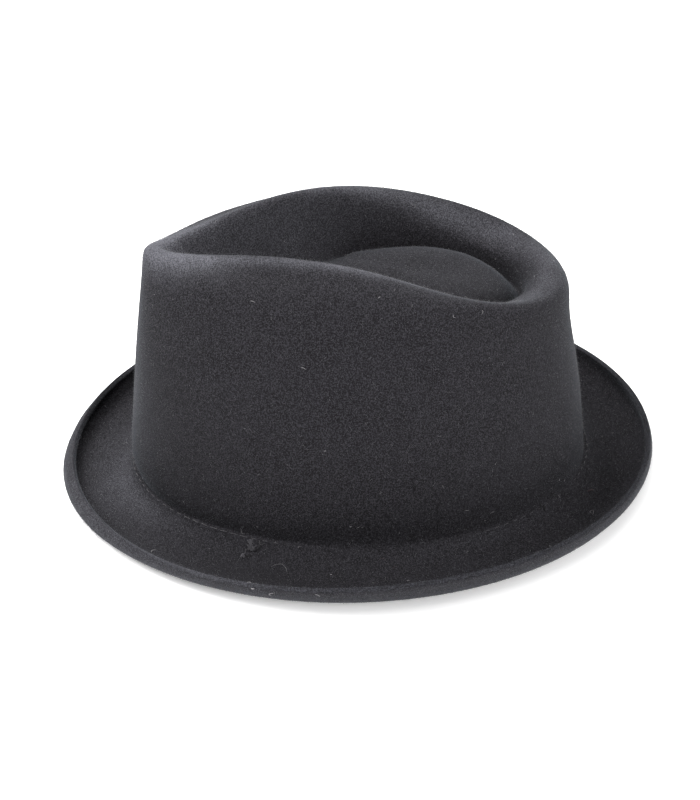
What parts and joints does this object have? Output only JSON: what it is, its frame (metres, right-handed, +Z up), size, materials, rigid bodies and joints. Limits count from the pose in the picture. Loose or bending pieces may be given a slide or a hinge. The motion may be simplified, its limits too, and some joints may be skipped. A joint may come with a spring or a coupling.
{
  "type": "short-brimmed felt hat",
  "caption": "Felt hat with a teardrop-creased crown and a short, upturned, raw-edged brim, blocked from one piece of felt and open below for a head.",
  "frame": {"origin": "under the middle of the brim's outline, on the surface that the hat rests on", "axes": "-Y to the front of the hat, +X to the wearer's left, +Z up"},
  "size_m": [0.2532, 0.2704, 0.1242],
  "materials": {
    "felt": "matt black wool felt with a short, fuzzy nap and a raw cut edge"
  },
  "bodies": {
    "root": {"felt_body": "felt"}
  },
  "joints": []
}
